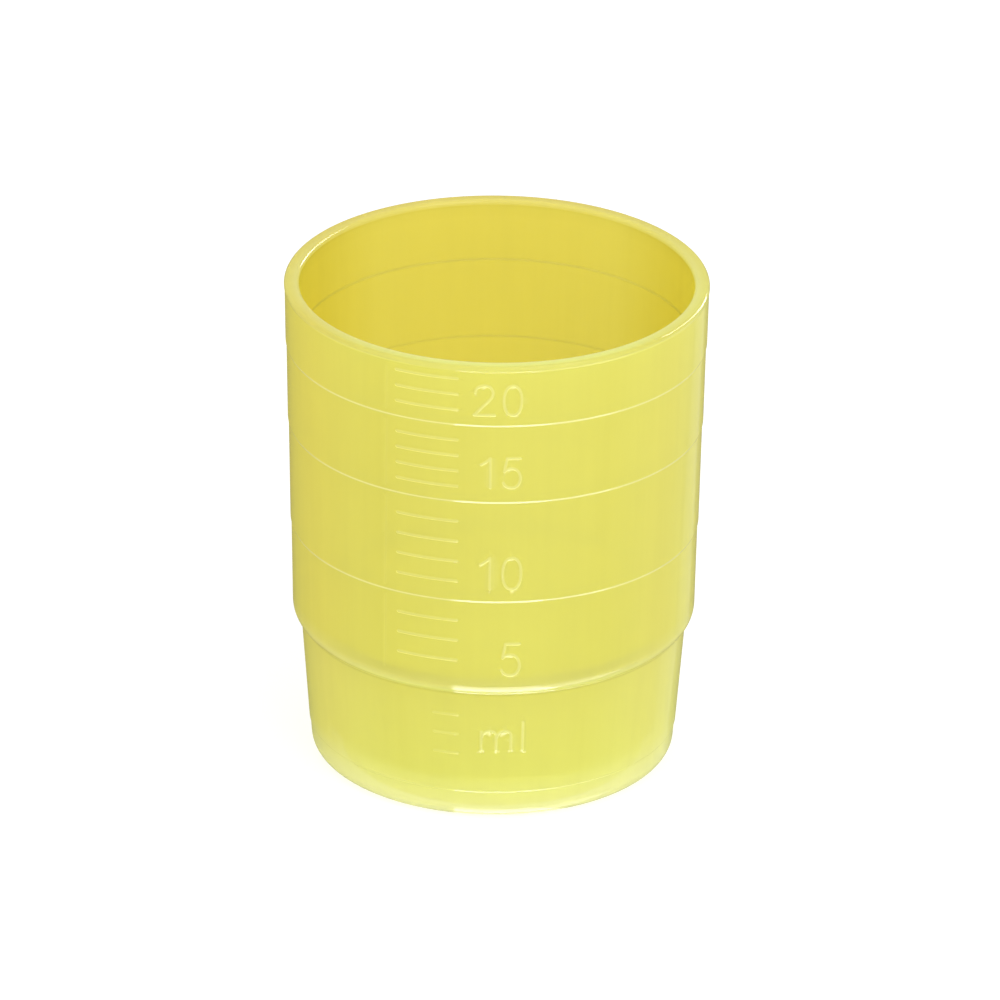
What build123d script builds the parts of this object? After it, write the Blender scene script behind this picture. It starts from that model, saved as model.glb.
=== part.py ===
"""Small moulded medicine cup with a filling scale.

The cup is one piece of translucent plastic. It stands on the XY plane with its axis on Z, and the
scale faces -Y. Each filling line is a shallow step of the wall, inside and out, and the step at
5 ml is a wide rounded shoulder. Lengths are in millimetres and angles in degrees.
"""
from build123d import *
from math import radians, tan
import os

# Rim
rim_diameter = 32.5
lip_height = 0.43
lip_overhang = 0.05
rim_round = 0.3

# Wall
wall_thickness = 1.1
upper_draft = 1.06
lower_draft = 4.4
line_step = 0.07

# Shoulder at the 5 ml line
shoulder_width = 0.64
shoulder_drop = 1.08
shoulder_above_line = 0.32
shoulder_root_round = 0.1

# Foot and floor
floor_thickness = 1.4
floor_round = 1.0
foot_round = 1.1
foot_ring_width = 2.4
foot_recess_depth = 1.0
recess_round = 0.3
gate_mark_diameter = 1.6
gate_mark_rise = 0.3

# Filling scale: the height that one millilitre takes, up to the 15 ml line and above it,
# then what has a step, a long tick or a short tick, in millilitres
lower_pitch = 1.683
upper_pitch = 1.289
step_marks = range(20, 5, -5)
long_tick_marks = [ml for ml in range(7, 24) if ml not in step_marks]
short_tick_marks = range(2, 5)
rim_above_top_tick = 1.06

# Tick ribs, by their angle from the middle of the scale
tick_width = 0.24
tick_rise = 0.08
tick_right_end = -9.8
long_tick_arc = 18.2
short_tick_arc = 8.4

floor_height = foot_recess_depth + floor_thickness


def level(millilitres):
    """Height of a filling line above the table."""
    below_15 = min(millilitres, 15)
    above_15 = millilitres - below_15
    return floor_height + below_15 * lower_pitch + above_15 * upper_pitch


cup_height = level(max(long_tick_marks)) + rim_above_top_tick
shoulder_foot = level(5) + shoulder_above_line
shoulder_top = shoulder_foot + shoulder_drop

# The outside of the wall as drafted bands, walked from the rim down to the foot. A band is
# its lower end, its draft and the step at that end.
rim_radius = rim_diameter / 2
lip_line = cup_height - lip_height
upper_bands = [(level(ml), upper_draft, line_step) for ml in step_marks]
upper_bands.append((shoulder_top, upper_draft, 0))
lower_bands = [(floor_height, lower_draft, line_step), (0, lower_draft, 0)]


def walk_down(radius, height, bands):
    """Corner points of the wall below a start point, as (radius, height)."""
    corners = [(radius, height)]
    for end, draft, step in bands:
        radius -= (height - end) * tan(radians(draft))
        height = end
        corners.append((radius, height))
        if step:
            radius -= step
            corners.append((radius, height))
    return corners


upper_wall = walk_down(rim_radius - lip_overhang, lip_line, upper_bands)
upper_wall_end = upper_wall[-1][0]
lower_wall = walk_down(upper_wall_end - shoulder_width, shoulder_foot, lower_bands)
foot_radius = lower_wall[-1][0]


def outer_radius(height):
    """Outside radius of the drafted wall at a height."""
    corners = upper_wall if height >= shoulder_top else lower_wall
    for (top_radius, top), (end_radius, end) in zip(corners, corners[1:]):
        if top > end and end <= height <= top:
            return end_radius + (top_radius - end_radius) * (height - end) / (top - end)


def inside(corner):
    """The inner wall's point beside an outer one."""
    return corner[0] - wall_thickness, corner[1]


def radial_plane(azimuth):
    """Plane through the axis, its X outward at an angle from -Y and its Y up."""
    outward = Vector(0, -1, 0).rotate(Axis.Z, azimuth)
    return Plane(origin=(0, 0, 0), x_dir=outward, z_dir=outward.cross(Vector(0, 0, 1)))


inner_upper = [inside(corner) for corner in reversed(upper_wall)]
inner_lower = [inside(corner) for corner in reversed(lower_wall[:-2])]
rim_inner = (inner_upper[-1][0], cup_height)
rim_outer = (rim_radius, cup_height)
floor_corner = inner_lower[0]
foot_corner = (foot_radius, 0)
recess_radius = foot_radius - foot_ring_width
gate_mark_radius = gate_mark_diameter / 2
gate_mark_height = foot_recess_depth - gate_mark_rise

with BuildPart() as cup:
    # The whole wall and floor, as half of the cup's section
    with BuildSketch(Plane.XZ) as section:
        with BuildLine():
            Polyline(rim_outer, (rim_radius, lip_line), *upper_wall)
            TangentArc(upper_wall[-1], lower_wall[0], tangent=(-tan(radians(upper_draft)), -1))
            Polyline(*lower_wall)
            Polyline(
                foot_corner,
                (recess_radius, 0),
                (recess_radius, foot_recess_depth),
                (gate_mark_radius, foot_recess_depth),
                (gate_mark_radius, gate_mark_height),
                (0, gate_mark_height),
                (0, floor_height),
                floor_corner,
            )
            Polyline(*inner_lower)
            TangentArc(inner_lower[-1], inner_upper[0], tangent=(tan(radians(lower_draft)), 1))
            Polyline(*inner_upper, rim_inner, rim_outer)
        make_face()

        def corner(point):
            return section.vertices().sort_by_distance((*point, 0))[0]

        largest_rim_round = min(rim_round, 0.9 * lip_height, 0.45 * wall_thickness)
        fillet([corner(rim_outer), corner(rim_inner)], largest_rim_round)
        fillet(corner(lower_wall[0]), shoulder_root_round)
        fillet(corner(foot_corner), foot_round)
        fillet(corner(floor_corner), floor_round)
        fillet(corner((recess_radius, foot_recess_depth)), recess_round)
    revolve(axis=Axis.Z)

    # Ticks: long ones above the shoulder, short ones below it
    for marks, arc in ((long_tick_marks, long_tick_arc), (short_tick_marks, short_tick_arc)):
        heights = [level(ml) for ml in marks]
        with BuildSketch(radial_plane(tick_right_end - arc)):
            with Locations(*[(outer_radius(height), height) for height in heights]):
                Rectangle(2 * tick_rise, tick_width)
        revolve(axis=Axis.Z, revolution_arc=arc)

cup.part.label = "cup"

os.makedirs("parts", exist_ok=True)
export_step(cup.part, "parts/cup.step")
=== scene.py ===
"""Looks for the moulded medicine cup: a fine translucent surface with its raised scale.

Lengths in the profile are millimetres, angles are degrees, and the mesh is made in metres.
An azimuth is measured from -Y, positive towards +X.
"""

from math import atan2, cos, degrees, exp, hypot, pi, radians, sin, tan

import bpy
import numpy as np
from mathutils import Matrix, Vector
from mathutils.geometry import delaunay_2d_cdt


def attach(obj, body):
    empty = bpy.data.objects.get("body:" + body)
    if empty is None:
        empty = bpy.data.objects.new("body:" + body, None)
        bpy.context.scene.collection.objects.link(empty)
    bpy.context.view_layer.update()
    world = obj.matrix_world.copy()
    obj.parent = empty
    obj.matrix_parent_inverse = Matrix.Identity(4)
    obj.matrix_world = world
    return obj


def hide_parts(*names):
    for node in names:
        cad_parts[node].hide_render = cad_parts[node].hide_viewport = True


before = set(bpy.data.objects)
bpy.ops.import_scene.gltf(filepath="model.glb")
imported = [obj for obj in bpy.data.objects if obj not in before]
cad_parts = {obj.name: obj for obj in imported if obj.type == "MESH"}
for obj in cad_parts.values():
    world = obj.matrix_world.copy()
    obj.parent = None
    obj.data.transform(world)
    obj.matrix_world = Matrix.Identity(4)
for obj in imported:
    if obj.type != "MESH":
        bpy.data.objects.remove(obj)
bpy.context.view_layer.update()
MM = 0.001

# The section, as in the CAD part
WALL = 1.1
UPPER_DRAFT = tan(radians(1.06))
LOWER_DRAFT = tan(radians(4.4))
STEP, LIP = 0.07, 0.05
FLOOR = 2.4
RECESS, RECESS_ROUND = 1.0, 0.3
FOOT_RING, FOOT_ROUND, FLOOR_ROUND = 2.4, 1.1, 1.0
GATE, GATE_RISE = 0.8, 0.3
SHOULDER_WIDTH = 0.64
RIM_RADIUS, RIM_ROUND = 16.25, 0.3
# Two small rounds that only this surface has
RING_ROUND, GATE_ROUND = 0.08, 0.12


def level(millilitres):
    """Height of a filling line."""
    return FLOOR + min(millilitres, 15) * 1.683 + max(millilitres - 15, 0) * 1.289


HEIGHT = level(23) + 1.06
LIP_LINE = HEIGHT - 0.43
ROOT = level(5) + 0.32
SHOULDER = ROOT + 1.08
STEPS = [level(ml) for ml in (20, 15, 10)]

# Heights between which the outer wall has a window for the raised scale, and the azimuths of its sides
WINDOW_GAP = 0.2
WINDOWS = [
    (FLOOR + 0.3, ROOT - 0.3),
    (SHOULDER + WINDOW_GAP, STEPS[2] - WINDOW_GAP),
    (STEPS[2] + WINDOW_GAP, STEPS[1] - WINDOW_GAP),
    (STEPS[1] + WINDOW_GAP, STEPS[0] - WINDOW_GAP),
    (STEPS[0] + WINDOW_GAP, LIP_LINE - WINDOW_GAP),
]
WINDOW_SIDES = -33, 12

# The mesh: degrees between its columns, about the millimetres between its rows, the lowest row above the
# foot's rounding, and how far from a filling line it has rows of their own
COLUMN_WIDTH = 1.5
ROW_HEIGHT = 0.9
LOWEST_ROW = 1.07
LINE_ROWS = 0, 0.03, 0.06, 0.09, 0.12, 0.15
# A point this far within the outer wall is on the inside
INSIDE_FROM = 0.5


def step_blend(height, middle, half=0.12):
    """0 below a filling line and 1 above it, with the soft slope that a polished mould leaves."""
    t = min(max((height - middle + half) / (2 * half), 0.0), 1.0)
    return t * t * (3 - 2 * t)


def upper_radius(height):
    """Outside radius of the wall between the shoulder and the rim."""
    radius = RIM_RADIUS - LIP - max(LIP_LINE - height, 0) * UPPER_DRAFT
    radius -= STEP * sum(1 - step_blend(height, z) for z in STEPS)
    return radius + LIP * step_blend(height, LIP_LINE)


SHOULDER_RADIUS = upper_radius(SHOULDER)
ROOT_RADIUS = SHOULDER_RADIUS - SHOULDER_WIDTH


def lower_radius(height):
    """Outside radius of the wall between the foot and the shoulder."""
    radius = ROOT_RADIUS - (ROOT - height) * LOWER_DRAFT
    return radius - STEP * (1 - step_blend(height, FLOOR, 0.06))


def outer_radius(height):
    return upper_radius(height) if height > SHOULDER else lower_radius(height)


def fillet(before, corner, after, radius, parts):
    """Points of the arc that rounds a corner of two straight lines."""
    a, b, c = (Vector(p) for p in (before, corner, after))
    u, v = (a - b).normalized(), (c - b).normalized()
    half = u.angle(v) / 2
    start, end = b + u * radius / tan(half), b + v * radius / tan(half)
    middle = b + (u + v).normalized() * radius / sin(half)
    return swing(middle, start, end, parts)


def swing(middle, start, end, parts):
    """Points along the shorter arc about middle, both ends included."""
    first, last = Vector(start) - Vector(middle), Vector(end) - Vector(middle)
    a = atan2(first.y, first.x)
    turn = (atan2(last.y, last.x) - a + pi) % (2 * pi) - pi
    angles = [a + turn * i / parts for i in range(parts + 1)]
    return [(middle[0] + first.length * cos(t), middle[1] + first.length * sin(t)) for t in angles]


def tangent_arc(start, along, end, parts):
    """Points of the arc that leaves start in a direction and goes through end."""
    chord = Vector(end) - Vector(start)
    across = Vector((-along[1], along[0])).normalized()
    if across.dot(chord) < 0:
        across = -across
    return swing(Vector(start) + across * chord.length_squared / (2 * chord.dot(across)), start, end, parts)


def bend(start, corner, end, parts):
    """Points of a soft curve that cuts a corner."""
    points = []
    for i in range(parts + 1):
        t = i / parts
        weights = (1 - t) ** 2, 2 * t * (1 - t), t * t
        axes = zip(start, corner, end)
        points.append(tuple(sum(w * v for w, v in zip(weights, values)) for values in axes))
    return points


def heights_between(low, high, lines):
    """Row heights along a straight wall, close together where a filling line bends it."""
    marks = {low, high} | {z for window in WINDOWS for z in window if low < z < high}
    beside = [z + side * dz for z in lines for dz in LINE_ROWS for side in (-1, 1)]
    marks = sorted(marks | {z for z in beside if low < z < high})
    rows = []
    for a, b in zip(marks, marks[1:]):
        n = max(1, round((b - a) / ROW_HEIGHT))
        rows += [a + (b - a) * i / n for i in range(n)]
    return rows + [high]


def underside():
    """From the axis under the floor to the foot."""
    recess = lower_radius(0) - FOOT_RING
    gate_top = RECESS - GATE_RISE
    return [
        (0, gate_top),
        *fillet((0, gate_top), (GATE, gate_top), (GATE, RECESS), GATE_ROUND, 4),
        *bend((GATE, RECESS - 0.1), (GATE, RECESS), (GATE + 0.1, RECESS), 3),
        *[(r, RECESS) for r in (2, 4, 6, 8, 10)],
        *fillet((0, RECESS), (recess, RECESS), (recess, 0), RECESS_ROUND, 6),
        (recess, 0.4),
        *fillet((recess, RECESS), (recess, 0), (recess + 1, 0), RING_ROUND, 4),
        (recess + 0.5, 0),
        *fillet((recess, 0), (lower_radius(0), 0), (lower_radius(2), 2), FOOT_ROUND, 12),
    ]


def outer_wall():
    """From the foot's rounding to the rim's."""
    arc = tangent_arc((SHOULDER_RADIUS, SHOULDER), (-UPPER_DRAFT, -1), (ROOT_RADIUS, ROOT), 20)[::-1]
    low = heights_between(LOWEST_ROW, ROOT - 0.15, [FLOOR])
    high = heights_between(SHOULDER + 0.05, LIP_LINE + 0.1, STEPS + [LIP_LINE])
    return [
        *[(lower_radius(z), z) for z in low],
        *bend((lower_radius(ROOT - 0.12), ROOT - 0.12), arc[0], arc[2], 5),
        *arc[3:],
        *[(upper_radius(z), z) for z in high],
    ]


def rim_and_inside():
    """From the rim's outer edge over to the middle of the floor."""
    inner_rim = RIM_RADIUS - LIP - WALL
    corner = (lower_radius(FLOOR + 0.1) - WALL, FLOOR)
    high = heights_between(SHOULDER + 0.05, LIP_LINE, STEPS)[::-1]
    arc = tangent_arc(
        (ROOT_RADIUS - WALL, ROOT), (LOWER_DRAFT, 1), (SHOULDER_RADIUS - WALL, SHOULDER), 16
    )[::-1]
    low = heights_between(FLOOR + 1.0, ROOT - 0.05, [])[::-1]
    return [
        *fillet((RIM_RADIUS, 0), (RIM_RADIUS, HEIGHT), (0, HEIGHT), RIM_ROUND, 8),
        (RIM_RADIUS - 0.575, HEIGHT),
        *fillet((RIM_RADIUS, HEIGHT), (inner_rim, HEIGHT), (inner_rim, 0), RIM_ROUND, 8),
        *[(min(upper_radius(z), RIM_RADIUS - LIP) - WALL, z) for z in high],
        *arc,
        *[(lower_radius(z) - WALL, z) for z in low],
        *fillet((lower_radius(4) - WALL, 4), corner, (0, FLOOR), FLOOR_ROUND, 10),
        *[(r, FLOOR) for r in (10, 7.5, 5, 2.5, 0)],
    ]


# The raised scale: how high and how wide its lines are, and how their sides slope
RISE, HALF_WIDTH = 0.07, 0.125
FLAT, SLOPE = 0.06, 0.1
LONG_RISE, SHORT_RISE, MEETING_RISE = 0.049, 0.0245, 0.01

# Ticks as height, left azimuth and rise
TICK_RIGHT = -9.8
TICKS = [(level(ml), -28.0, LONG_RISE) for ml in range(7, 24) if ml not in (10, 15, 20)]
TICKS += [(level(ml), -18.2, SHORT_RISE) for ml in (2, 3, 4)]

# The mould's meeting line, as its azimuth at the table and at the rim
MEETING = -32.6, -30.4


def squarer(value, power):
    return np.sign(value) * abs(value) ** power


def nought():
    """The line of a 0, a little squarer than an ellipse."""
    turns = np.linspace(0, 2 * pi, 49)
    return [(0.5 + 0.5 * squarer(cos(a), 0.86), 0.5 + 0.5 * squarer(sin(a), 0.9)) for a in turns]


# Middle lines of the figures, each in a box one unit wide and high
GLYPHS = {
    "0": [nought()],
    "1": [
        [(0, 0.78), (0.3, 0.84), (0.62, 0.91), (0.95, 1)],
        [(0.95, 1), (0.95, 0)],
    ],
    "2": [
        [(0.06, 0.76), (0.1, 0.87), (0.22, 0.96), (0.4, 1), (0.6, 1), (0.8, 0.94), (0.9, 0.82),
         (0.9, 0.7), (0.82, 0.58), (0.64, 0.44), (0.42, 0.29), (0.2, 0.13), (0.03, 0)],
        [(0, 0), (1, 0)],
    ],
    "5": [
        [(0.95, 1), (0.22, 1)],
        [(0.22, 1), (0.07, 0.55)],
        [(0.07, 0.55), (0.2, 0.62), (0.42, 0.66), (0.66, 0.64), (0.86, 0.54), (0.96, 0.4),
         (0.97, 0.27), (0.88, 0.12), (0.72, 0.03), (0.5, 0), (0.28, 0.02), (0.1, 0.09), (0.02, 0.17)],
    ],
    "m": [
        [(0, 0), (0, 0.95)],
        [(0, 0.6), (0.06, 0.82), (0.16, 0.95), (0.29, 1), (0.41, 0.96), (0.48, 0.86), (0.5, 0.72), (0.5, 0)],
        [(0.5, 0.6), (0.56, 0.82), (0.66, 0.95), (0.79, 1), (0.91, 0.96), (0.98, 0.86), (1, 0.72), (1, 0)],
    ],
    "l": [[(0.5, 0), (0.5, 1)]],
}
# Each figure with its left and right azimuth and its lowest and highest point
FIGURES = [
    ("2", -6.16, 0.24, 34.93, 37.60), ("0", 1.83, 7.44, 34.93, 37.60),
    ("1", -4.15, -0.63, 28.83, 31.52), ("5", 1.80, 7.49, 28.83, 31.52),
    ("1", -4.21, -0.49, 20.25, 23.12), ("0", 1.98, 7.92, 20.25, 23.12),
    ("5", 1.85, 8.03, 12.90, 15.80),
    ("m", -3.77, 6.16, 6.10, 7.98), ("l", 8.55, 9.77, 6.06, 8.71),
]


def smooth_line(points):
    """A line of more than two points as a smooth curve, in short steps."""
    p = np.array(points, float)
    if len(p) > 2:
        closed = np.allclose(p[0], p[-1])
        before = p[-2] if closed else 2 * p[0] - p[1]
        after = p[1] if closed else 2 * p[-1] - p[-2]
        q = np.vstack([before, p, after])
        t = np.linspace(0, 1, 9)[:-1, None]
        parts = []
        for a, b, c, d in zip(q, q[1:], q[2:], q[3:]):
            square, cube = 2 * a - 5 * b + 4 * c - d, 3 * b - a - 3 * c + d
            parts.append(0.5 * (2 * b + (c - a) * t + square * t ** 2 + cube * t ** 3))
        p = np.vstack(parts + [p[-1:]])
    return p


def strokes(scale):
    """Every raised line as (points, rise), its points across and up the wall in millimetres."""
    lines = []
    w = HALF_WIDTH
    for sign, left, right, low, high in FIGURES:
        x0, x1 = radians(left) * scale + w, radians(right) * scale - w
        for line in GLYPHS[sign]:
            p = smooth_line(line)
            x = x0 + (x1 - x0) * p[:, 0] if x1 > x0 else np.full(len(p), (x0 + x1) / 2)
            lines.append((np.stack([x, low + w + (high - low - 2 * w) * p[:, 1]], 1), RISE))
    for z, left, rise in TICKS:
        ends = radians(left) * scale + w, radians(TICK_RIGHT) * scale - w
        lines.append((np.array([(x, z) for x in ends]), rise))
    # The faint line where the mould's halves met
    for low, high in WINDOWS[1:]:
        sides = [radians(MEETING[0] + (MEETING[1] - MEETING[0]) * z / HEIGHT) * scale for z in (low, high)]
        lines.append((np.array([(sides[0], low + 0.3), (sides[1], high - 0.3)]), MEETING_RISE))
    return lines


def strokes_in(band, scale):
    """The raised lines between two heights."""
    return [(line, top) for line, top in strokes(scale) if band[0] < line[:, 1].mean() < band[1]]


def distance(points, line):
    """Distance of each point from a line of straight parts."""
    best = np.full(len(points), 9.0)
    for a, b in zip(line, line[1:]):
        ab = b - a
        t = np.clip(((points - a) @ ab) / max(ab @ ab, 1e-12), 0, 1)
        best = np.minimum(best, np.hypot(*(points - a - t[:, None] * ab).T))
    return best


def relief(points, scale, band):
    """Height of the raised lines over the wall at points across and up it, and their share of slope."""
    rise, slope = np.zeros(len(points)), np.zeros(len(points))
    for line, top in strokes_in(band, scale):
        t = np.clip((distance(points, line) - FLAT) / SLOPE, 0, 1)
        share = 1 - t * t * (3 - 2 * t)
        higher = top * share > rise
        rise = np.where(higher, top * share, rise)
        slope = np.where(higher, 4 * share * (1 - share) * top / RISE, slope)
    return rise, slope


# Points that the mesh has inside a window: over a tick, over a figure or the meeting line, and elsewhere
TICK_ROWS = -0.18, -0.13, -0.1, -0.07, -0.035, 0, 0.035, 0.07, 0.1, 0.13, 0.18
FINE, FINE_MARGIN, FINE_REACH = 0.05, 0.25, 0.17
PLAIN_WIDTH, PLAIN_HEIGHT, PLAIN_REACH = 0.4, 0.45, 0.36
LOW_MARGIN, HIGH_MARGIN = 0.3, 0.2


def is_tick(line):
    return len(line) == 2 and line[0, 1] == line[1, 1]


def over_tick(line):
    """Points over a tick, closer together at its ends."""
    (left, z), (right, _) = line
    xs = np.concatenate([
        left + np.arange(-0.17, 0.2, FINE),
        np.arange(left + 0.3, right - 0.25, 0.3),
        right + np.arange(-0.2, 0.2, FINE),
    ])
    return [(x, z + dz) for x in xs for dz in TICK_ROWS]


def grid(x0, x1, dx, z0, z1, dz):
    return np.stack(np.meshgrid(np.arange(x0, x1, dx), np.arange(z0, z1, dz)), -1).reshape(-1, 2)


def over_figures(lines):
    """A fine grid of points over and beside lines."""
    (x0, z0), (x1, z1) = np.vstack(lines).min(0) - FINE_MARGIN, np.vstack(lines).max(0) + FINE_MARGIN
    points = grid(x0, x1, FINE, z0, z1, FINE)
    return points[np.min([distance(points, line) for line in lines], 0) < FINE_REACH]


def patch(edge, scale, band):
    """Fills a window of the wall.

    The edge is its outline across and up the wall. The result is all points, the triangles, and for each
    point the edge points that it stands for.
    """
    lines = [line for line, _ in strokes_in(band, scale)]
    inner = [over_tick(line) for line in lines if is_tick(line)]
    inner.append(over_figures([line for line in lines if not is_tick(line)]))
    (x0, z0), (x1, z1) = edge.min(0) + LOW_MARGIN, edge.max(0) - HIGH_MARGIN
    plain = grid(x0, x1, PLAIN_WIDTH, z0, z1, PLAIN_HEIGHT)
    clear = np.min([distance(plain, line) for line, _ in strokes(scale)], 0) > PLAIN_REACH
    points = [Vector(p) for p in np.vstack([edge, *inner, plain[clear]])]
    ring = [(i, (i + 1) % len(edge)) for i in range(len(edge))]
    verts, _, faces, sources, _, _ = delaunay_2d_cdt(points, ring, [], 0, 1e-6)
    return verts, faces, sources


# Shares of the plastic's looks that each point of the mesh carries: pale is painted light, deep and dark are
# painted shade, line is a painted highlight on the lines that also lets less light through, and raised makes
# the scale rougher
LOOKS = "pale", "deep", "line", "dark", "raised"
# The underside carries painted light and some painted shade
UNDERSIDE_LOOKS = 0.6, 0.3, 0.0, 0.0, 0.0

# Heights, then the millimetres over which the looks change up the cup and beside a line or corner
RIM_START, SHOULDER_MIDDLE, ROOT_MIDDLE = HEIGHT - 0.32, 11.9, ROOT - 0.12
FOOT_REACH, INSIDE_REACH = 4.6, 9.0
LINE_REACH, SHOULDER_REACH, ROOT_REACH, LEDGE_REACH, RIM_REACH, EDGE_REACH = 0.15, 0.6, 0.16, 0.75, 0.5, 0.12

# The most that each place gives a share, apart from INSIDE_DEEP, which is the least of the inside. The pale
# shares are painted light, the deep and dark ones painted shade, and the line ones painted highlights
INSIDE_PALE, INSIDE_DEEP = 0.3, 0.45
SHOULDER_PALE, LOWER_PALE, RIM_PALE, RIM_INNER_PALE = 0.3, 0.1, 0.05, 0.3
UNDER_RIM_DARK, LEDGE_DARK, ROOT_DARK, EDGE_DARK = 0.5, 1.6, 0.6, 0.5
STEP_LINE, SLOPE_LINE, RAISED_LINE, RIM_LINE = 0.4, 0.12, 0.25, 0.1
# How far in the rim's inner edge begins, over what width, and how much of the rim's painted light the back
# loses
RIM_INNER, RIM_INNER_WIDTH, RIM_BACK_LESS = 0.5, 0.2, 0.6

# Degrees: where the painted shade is least, at the lit front, and stripes of deeper painted shade toward the
# sides, as share, middle and reach
LIGHTEST = 12
DEEP_STRIPES = [(0.3, -62, 18), (0.2, 58, 14)]


def near(value, middle, reach):
    """1 at the middle, falling evenly to 0 at the reach."""
    return max(0.0, 1 - abs(value - middle) / reach)


def swell(value, middle, reach):
    """1 at the middle, falling softly on both sides."""
    return exp(-((value - middle) / reach) ** 2)


def away_from(azimuth, middle):
    """0 at an azimuth and 1 on the other side of the cup."""
    return 0.5 - 0.5 * cos(radians(azimuth - middle))


def on_step(height):
    return max(near(height, z, LINE_REACH) for z in STEPS)


def looks_inside(height):
    """The looks of the underside, the floor and the inner wall."""
    if height < FLOOR - 1e-6:
        return UNDERSIDE_LOOKS
    # Painted light at the floor, fading up the inner wall, as painted shade deepens up it
    up = min((height - FLOOR) / INSIDE_REACH, 1)
    # Painted shade at the inner steps, the shoulder's ledge and under the rim
    ledge = near(height, (ROOT + SHOULDER) / 2, LEDGE_REACH)
    under_rim = near(height, RIM_START, RIM_REACH)
    dark = max(on_step(height), UNDER_RIM_DARK * under_rim, LEDGE_DARK * ledge)
    return INSIDE_PALE * (1 - up), INSIDE_DEEP + (1 - INSIDE_DEEP) * up, 0.0, dark, 0.0


def looks_of_rim(radius, height, azimuth, deep):
    """The rim's painted light, paler on its inner edge and less at the back, and painted shade, darkest on
    its outer edge at the back.
    """
    inner = min(max((RIM_RADIUS - radius - RIM_INNER) / RIM_INNER_WIDTH, 0), 1)
    outer = near(radius, RIM_RADIUS, EDGE_REACH) * (height > LIP_LINE + 0.12)
    behind = away_from(azimuth, 0)
    pale = (RIM_PALE + RIM_INNER_PALE * inner) * (1 - RIM_BACK_LESS * behind)
    return pale, min(deep * 1.1, 1.0), RIM_LINE, EDGE_DARK * outer * behind, 0.0


def looks(radius, height, azimuth, rise=0.0, slope=0.0):
    """The shares, mostly from 0 to 1, by which a point of the plastic differs from the front wall.

    It is paler with painted light from the table below at the foot and lower wall, and with a painted
    reflection at the shoulder. It is deeper with painted shade inside and away from the lit front. The lines
    of the outside are paler again with painted highlights. Inside it is dark with painted shade at the steps,
    the shoulder and below the rim, and outside under the shoulder.
    """
    if radius < outer_radius(height) - INSIDE_FROM and height < RIM_START:
        return looks_inside(height)
    # Painted shade: deeper away from the lit front and towards the rim, and in two stripes towards the sides
    deep = away_from(azimuth, LIGHTEST) * (0.6 + 0.4 * height / HEIGHT)
    deep += sum(share * swell(azimuth, middle, reach) for share, middle, reach in DEEP_STRIPES)
    if height > LIP_LINE:
        return looks_of_rim(radius, height, azimuth, deep)
    # Painted light from the table below at the foot and lower wall, and a painted reflection on the shoulder
    foot = max(1 - height / FOOT_REACH, 0) ** 1.3
    shoulder = SHOULDER_PALE * swell(height, SHOULDER_MIDDLE, SHOULDER_REACH)
    lower_wall = LOWER_PALE * (height < ROOT)
    # Painted highlights on the steps, on the sides of the raised lines and on the raised lines
    line = max(STEP_LINE * on_step(height), SLOPE_LINE * slope, RAISED_LINE * rise)
    # Painted shade under the shoulder
    root = ROOT_DARK * near(height, ROOT_MIDDLE, ROOT_REACH)
    return max(foot, shoulder, lower_wall), deep, line, root, min(2 * rise, 1)


def section():
    """The whole section as (radius, height), from the axis under the floor round to the axis inside."""
    rows = []
    for point in underside() + outer_wall() + rim_and_inside():
        # Points that repeat are left out
        if not rows or hypot(point[0] - rows[-1][0], point[1] - rows[-1][1]) > 1e-4:
            rows.append(point)
    return rows


def window_rows(rows):
    """The first and last row of each window of the outer wall."""
    pairs = []
    for low, high in WINDOWS:
        outside = [i for i, (r, z) in enumerate(rows) if r > outer_radius(z) - INSIDE_FROM]
        inside = [i for i in outside if low - 1e-6 <= rows[i][1] <= high + 1e-6]
        pairs.append((inside[0], inside[-1]))
    return pairs


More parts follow.
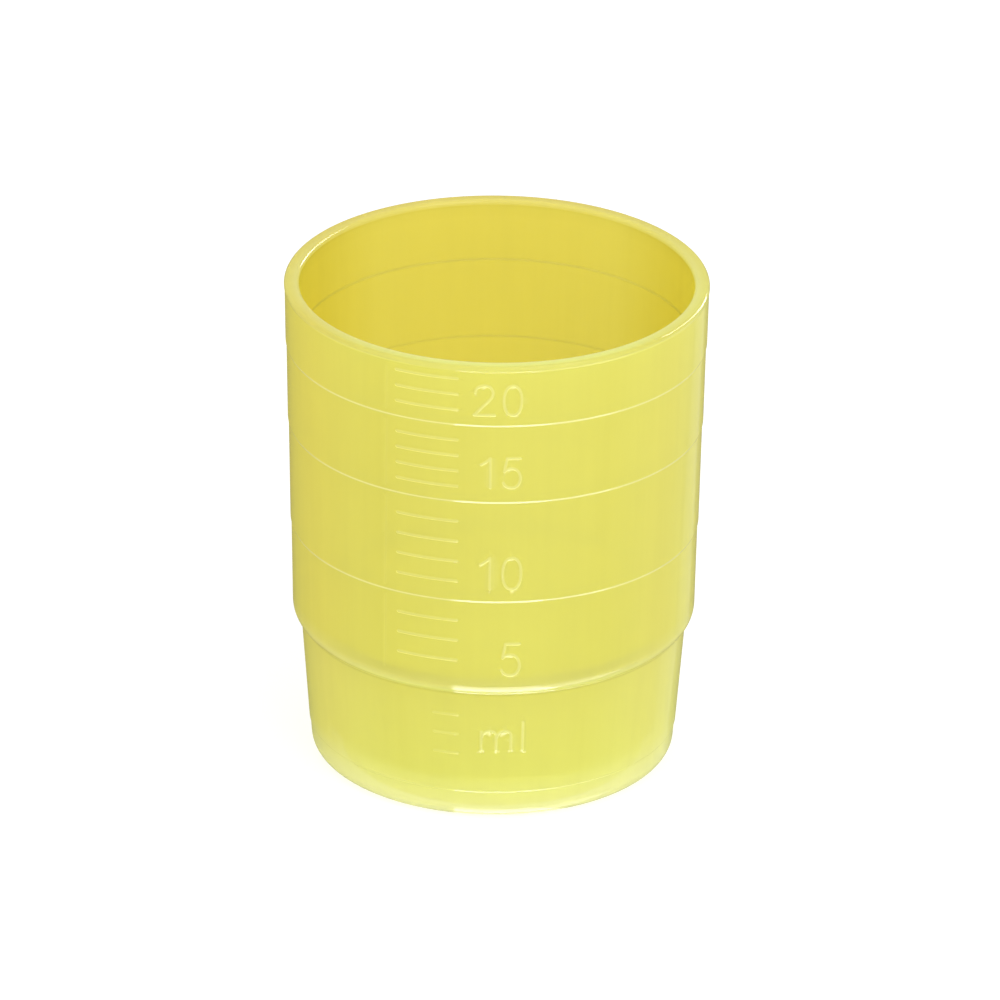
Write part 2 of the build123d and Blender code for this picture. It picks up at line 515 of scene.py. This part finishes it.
def build_cup():
    """The whole moulding as one closed mesh, with its scale let into windows of the outer wall."""
    rows = section()
    columns = np.arange(-180, 180, COLUMN_WIDTH)
    count = len(columns)
    left, right = (round((side + 180) / COLUMN_WIDTH) for side in WINDOW_SIDES)
    windows = window_rows(rows)
    end = len(rows) - 1
    inner_axis = 1 + (end - 1) * count
    verts = [(0, 0, rows[0][1])]
    for r, z in rows[1:-1]:
        verts += [(r * sin(radians(a)), -r * cos(radians(a)), z) for a in columns]
    verts.append((0, 0, rows[-1][1]))
    seen = [looks(r, z, a) for r, z in rows for a in (columns if r else [0])]

    def at(i, j):
        """Number of the point in a row and column. The first and the last row are single points."""
        return 0 if i == 0 else inner_axis if i == end else 1 + (i - 1) * count + j % count

    faces = []
    for i in range(end):
        window = any(a <= i < b for a, b in windows)
        for j in range(count):
            if window and left <= j < right:
                continue
            if i == 0:
                faces.append((at(1, j + 1), at(1, j), 0))
            elif i == end - 1:
                faces.append((at(i, j), at(i, j + 1), inner_axis))
            else:
                faces.append((at(i, j), at(i, j + 1), at(i + 1, j + 1), at(i + 1, j)))

    for a, b in windows:
        scale = (rows[a][0] + rows[b][0]) / 2
        band = rows[a][1], rows[b][1]
        around = (
            [(a, j) for j in range(left, right)] + [(i, right) for i in range(a, b)]
            + [(b, j) for j in range(right, left, -1)] + [(i, left) for i in range(b, a, -1)]
        )
        edge = np.array([(radians(columns[j]) * scale, rows[i][1]) for i, j in around])
        points, triangles, sources = patch(edge, scale, band)
        height, slope = relief(np.array(points), scale, band)
        number = []
        for k, (x, z) in enumerate(points):
            known = [s for s in sources[k] if s < len(edge)]
            if known:
                number.append(at(*around[known[0]]))
                continue
            angle, r = x / scale, outer_radius(z) + height[k]
            number.append(len(verts))
            verts.append((r * sin(angle), -r * cos(angle), z))
            seen.append(looks(outer_radius(z), z, degrees(angle), height[k] / RISE, slope[k]))
        faces += [tuple(number[k] for k in t) for t in triangles]

    mesh = bpy.data.meshes.new("moulded_cup")
    mesh.from_pydata([tuple(c * MM for c in v) for v in verts], [], faces)
    for name, values in zip(LOOKS, zip(*seen)):
        mesh.attributes.new(name, "FLOAT", "POINT").data.foreach_set("value", values)
    mesh.shade_smooth()
    cup = bpy.data.objects.new("moulded_cup", mesh)
    bpy.context.scene.collection.objects.link(cup)
    return cup


# Colours of the plastic at the front, at the back with painted shade, with painted light, and with painted
# highlights on its lines. The second of the front and back is what shines through, and CLEAR is what goes
# straight on.
FRONT, FRONT_THROUGH = (0.905, 0.96, 0.28), (0.93, 0.98, 0.32)
SHADED_BACK, SHADED_BACK_THROUGH = (0.83, 0.71, 0.11), (0.87, 0.77, 0.14)
PAINTED_LIGHT, LINE_HIGHLIGHT = (0.95, 0.97, 0.57), (0.99, 0.99, 0.80)
CLEAR = (0.96, 0.94, 0.48)

# The shares that shine through and go straight on, and by how much a line lessens each
MILKY, OPEN = 0.4, 0.42
MILKY_LESS, OPEN_LESS = 0.6, 0.7
# How the share that goes straight on falls, from a wall seen squarely to one seen at a slant
SLANT, SLANT_OPEN = (0.25, 0.62), (1.0, 0.12)
# What the resin's streaks take off and what painted shade takes off in dark places, then the roughness of the
# wall and what raised lines add to it
STREAKS, SHADE = 0.04, 0.24
POLISH, RAISED_ROUGHNESS = (0.045, 0.09), 0.45

# The floor's own grey, its glow and how much more of that the camera sees
FLOOR_GREY, FLOOR_GLOW, FLOOR_SEEN = 0.42, 0.66, 0.04
FLOOR_HALF = 1.5

# Strips that only reflections see. Each under the floor is a name, a strength, and its front and back
# end as y, left x and right x.
UNDER_FLOOR = -0.3
UNDER_STRIPS = [
    ("table_light", 14, (-0.26, -0.124, 0.14), (0.03, -0.05, 0.10)),
    ("table_back", 3, (0.12, -0.037, 0.07), (0.38, -0.014, 0.03)),
    ("table_side", 5, (-0.26, 0.14, 0.32), (0.02, 0.110, 0.32)),
    ("table_right", 0.9, (0.3, 0.30, 0.48), (0.7, 0.30, 0.48)),
]
# The strip at the back right: its ends, and the way from its middle line to one side
RIM_LIGHT, RIM_LIGHT_ENDS = 14, ((0.51, 0.73, 0.14), (0.69, 0.22, 0.53))
RIM_LIGHT_SIDE = (-0.077, 0.037, 0.084)

# Levels above and below the horizon, how each changes with the direction, and where they meet
SKY, SKY_SLANT = 0.81, (-0.14, -0.31, 0.0)
UNDER, UNDER_SLANT = 0.85, (0.3, -0.65, 0.0)
HORIZON = (-0.03, 0.03)


def material(name):
    mat = bpy.data.materials.new(name)
    mat.use_nodes = True
    mat.node_tree.nodes.clear()
    return mat, mat.node_tree


def node(tree, kind, **settings):
    made = tree.nodes.new(kind)
    for key, value in settings.items():
        if key in made.inputs:
            made.inputs[key].default_value = value
        else:
            setattr(made, key, value)
    return made


def feed(tree, socket, source):
    """Gives a socket a number or another socket."""
    if isinstance(source, bpy.types.NodeSocket):
        tree.links.new(source, socket)
    else:
        socket.default_value = source


def scaled(tree, value, factor, offset=0.0):
    """value * factor + offset, each a number or a socket."""
    made = node(tree, "ShaderNodeMath", operation="MULTIPLY_ADD")
    for socket, source in zip(made.inputs, (value, factor, offset)):
        feed(tree, socket, source)
    return made.outputs[0]


def mapped(tree, value, old, new=(0.0, 1.0)):
    """A value carried from one range to another, held at its ends."""
    made = node(tree, "ShaderNodeMapRange")
    for key, number in zip(("From Min", "From Max", "To Min", "To Max"), (*old, *new)):
        made.inputs[key].default_value = number
    feed(tree, made.inputs["Value"], value)
    return made.outputs["Result"]


def mixed(tree, share, first, second, kind="FLOAT", **settings):
    """A mix of two numbers, colours or sockets."""
    made = node(tree, "ShaderNodeMix", data_type=kind, **settings)
    of_kind = [socket for socket in made.inputs if socket.enabled]
    for socket, source in zip(of_kind, (share, first, second)):
        feed(tree, socket, source)
    return next(socket for socket in made.outputs if socket.enabled)


def noise(tree, place, **settings):
    made = node(tree, "ShaderNodeTexNoise", **settings)
    tree.links.new(place, made.inputs["Vector"])
    return made.outputs["Fac"]


def plastic():
    """Milky yellow translucent polypropylene: part of the light scatters and part goes straight through."""
    mat, tree = material("cup_plastic")
    link = tree.links.new
    place = node(tree, "ShaderNodeTexCoord").outputs["Object"]
    shares = [node(tree, "ShaderNodeAttribute", attribute_name=name).outputs["Fac"] for name in LOOKS]
    pale, deep, line, dark, raised = shares

    # Slow cloudiness of the resin, drawn out along the flow from the gate up the wall
    stretch = node(tree, "ShaderNodeMapping")
    stretch.inputs["Scale"].default_value = (1, 1, 0.05)
    link(place, stretch.inputs["Vector"])
    flow = noise(tree, stretch.outputs[0], Scale=650, Detail=4, Roughness=0.6)
    cloud = noise(tree, place, Scale=110, Detail=3)
    streaks = mapped(tree, mixed(tree, 0.4, flow, cloud), (0.35, 0.65), (1 - STREAKS, 1.0))
    # Painted shade in dark places, over the resin's streaks
    shade = scaled(tree, dark, -SHADE, streaks)

    def tint(front, back):
        """The plastic's colour: painted shade deeper behind and inside, painted light paler at the foot,
        shoulder and rim, painted highlights palest on its lines, then the streaks and the painted shade of
        dark places.
        """
        colour = (*front, 1)
        for share, other in ((deep, back), (pale, PAINTED_LIGHT), (line, LINE_HIGHLIGHT)):
            colour = mixed(tree, share, colour, (*other, 1), "RGBA")
        return mixed(tree, 1.0, colour, shade, "RGBA", blend_type="MULTIPLY")

    # Polish that differs a little from place to place, and is duller on the raised scale
    grain = noise(tree, place, Scale=900, Detail=5)
    rough = scaled(tree, raised, RAISED_ROUGHNESS, mapped(tree, grain, (0.3, 0.7), POLISH))
    bump = node(tree, "ShaderNodeBump", Strength=0.06, Distance=0.00005)
    link(grain, bump.inputs["Height"])

    face = node(tree, "ShaderNodeBsdfPrincipled", IOR=1.49)
    link(tint(FRONT, SHADED_BACK), face.inputs["Base Color"])
    link(rough, face.inputs["Roughness"])
    link(bump.outputs["Normal"], face.inputs["Normal"])
    through = node(tree, "ShaderNodeBsdfTranslucent")
    link(tint(FRONT_THROUGH, SHADED_BACK_THROUGH), through.inputs["Color"])
    clear = node(tree, "ShaderNodeBsdfTransparent", Color=(*CLEAR, 1))

    # Light that meets the wall at a slant has more plastic to cross, so less of it goes straight on
    slant = node(tree, "ShaderNodeLayerWeight", Blend=0.5)
    crossing = mapped(tree, slant.outputs["Facing"], SLANT, SLANT_OPEN)
    straight_on = scaled(tree, scaled(tree, line, -OPEN_LESS * OPEN, OPEN), crossing)
    milky, wall = node(tree, "ShaderNodeMixShader"), node(tree, "ShaderNodeMixShader")
    link(scaled(tree, line, -MILKY_LESS * MILKY, MILKY), milky.inputs[0])
    link(face.outputs[0], milky.inputs[1])
    link(through.outputs[0], milky.inputs[2])
    link(straight_on, wall.inputs[0])
    link(milky.outputs[0], wall.inputs[1])
    link(clear.outputs[0], wall.inputs[2])
    link(wall.outputs[0], node(tree, "ShaderNodeOutputMaterial").inputs["Surface"])
    return mat


def floor_material():
    """A pale floor that reads white to the camera and keeps the cup's soft shadow."""
    mat, tree = material("floor_white")
    link = tree.links.new
    matte = node(tree, "ShaderNodeBsdfDiffuse", Color=(FLOOR_GREY, FLOOR_GREY, FLOOR_GREY, 1))
    path = node(tree, "ShaderNodeLightPath")
    lit = node(tree, "ShaderNodeEmission", Color=(1, 1, 1, 1))
    link(scaled(tree, path.outputs["Is Camera Ray"], FLOOR_SEEN, FLOOR_GLOW), lit.inputs["Strength"])
    both = node(tree, "ShaderNodeAddShader")
    link(matte.outputs[0], both.inputs[0])
    link(lit.outputs[0], both.inputs[1])
    link(both.outputs[0], node(tree, "ShaderNodeOutputMaterial").inputs["Surface"])
    return mat


def plain_quad(name, corners, mat):
    mesh = bpy.data.meshes.new(name)
    mesh.from_pydata(corners, [], [(0, 1, 2, 3)])
    mesh.materials.append(mat)
    quad = bpy.data.objects.new(name, mesh)
    bpy.context.scene.collection.objects.link(quad)
    return quad


cup = build_cup()
cup.data.materials.append(plastic())
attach(cup, "root")
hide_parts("cup")

def reflected_strip(name, strength, corners):
    """A bright strip that only reflections see."""
    mat, tree = material(name)
    glow = node(tree, "ShaderNodeEmission", Color=(1, 1, 1, 1), Strength=strength)
    tree.links.new(glow.outputs[0], node(tree, "ShaderNodeOutputMaterial").inputs["Surface"])
    strip = plain_quad(name, corners, mat)
    mat.cycles.emission_sampling = "NONE"
    strip.visible_camera = False
    strip.visible_diffuse = False
    strip.visible_transmission = False
    strip.visible_shadow = False


# Floor, and under it bright strips as a light table gives
corners = [(x * FLOOR_HALF, y * FLOOR_HALF, 0) for x, y in ((-1, -1), (1, -1), (1, 1), (-1, 1))]
floor = plain_quad("floor", corners, floor_material())
floor.visible_glossy = False
for name, strength, (y0, left0, right0), (y1, left1, right1) in UNDER_STRIPS:
    corners = [(left0, y0), (right0, y0), (right1, y1), (left1, y1)]
    reflected_strip(name, strength, [(x, y, UNDER_FLOOR) for x, y in corners])
first, last = (Vector(p) for p in RIM_LIGHT_ENDS)
side = Vector(RIM_LIGHT_SIDE)
reflected_strip("rim_light", RIM_LIGHT, [first + side, first - side, last - side, last + side])

# Soft even light
world = bpy.data.worlds.new("studio")
bpy.context.scene.world = world
world.use_nodes = True
sky = world.node_tree
ray = node(sky, "ShaderNodeTexCoord").outputs["Generated"]
parts = node(sky, "ShaderNodeSeparateXYZ")
sky.links.new(ray, parts.inputs[0])


def slanted(level_there, slope):
    """A level that changes evenly with the direction."""
    dot = node(sky, "ShaderNodeVectorMath", operation="DOT_PRODUCT")
    dot.inputs[1].default_value = slope
    sky.links.new(ray, dot.inputs[0])
    return scaled(sky, dot.outputs["Value"], 1.0, level_there)


# Above the horizon it is brightest towards the front left. Below, where reflections look through the
# floor, it is brightest towards the front right.
above = mapped(sky, parts.outputs["Z"], HORIZON)
halves = mixed(sky, above, slanted(UNDER, UNDER_SLANT), slanted(SKY, SKY_SLANT))
path = node(sky, "ShaderNodeLightPath")
direct = node(sky, "ShaderNodeMath", operation="MAXIMUM")
sky.links.new(path.outputs["Is Camera Ray"], direct.inputs[0])
sky.links.new(path.outputs["Is Transmission Ray"], direct.inputs[1])
background = sky.nodes["Background"].inputs
sky.links.new(mixed(sky, direct.outputs[0], halves, 1.0), background["Strength"])
background["Color"].default_value = (1, 1, 1, 1)


def soft_lamp(name, place, target, size, watts):
    lamp = bpy.data.lights.new(name, "AREA")
    lamp.size = size
    lamp.energy = watts
    made = bpy.data.objects.new(name, lamp)
    made.location = place
    made.rotation_euler = (Vector(target) - Vector(place)).to_track_quat("-Z", "Y").to_euler()
    bpy.context.scene.collection.objects.link(made)


soft_lamp("key", (0.35, -0.5, 0.7), (0, 0, 0.02), 0.5, 2.0)
soft_lamp("top", (0, 0.15, 0.9), (0, 0, 0.04), 0.4, 0.8)

# Camera, fitted to the photograph: 25.1 degrees above the floor, 0.9 m away, turned by 0.6 degrees
elevation, roll, away = radians(25.0929), radians(0.6163), 0.9
target = Vector((0.00041, 0, 0.02046))
back = Vector((0, -cos(elevation), sin(elevation)))
right, up = Vector((1, 0, 0)), Vector((0, sin(elevation), cos(elevation)))
turned = right * cos(roll) + up * sin(roll), up * cos(roll) - right * sin(roll)
view = bpy.data.cameras.new("camera")
view.sensor_width, view.lens = 36, 421.2
view.clip_start, view.clip_end = 0.01, 10
camera = bpy.data.objects.new("camera", view)
camera.matrix_world = Matrix.Translation(target + back * away) @ Matrix((*turned, back)).transposed().to_4x4()
bpy.context.scene.collection.objects.link(camera)
bpy.context.scene.camera = camera

bpy.context.scene.view_settings.view_transform = "Standard"
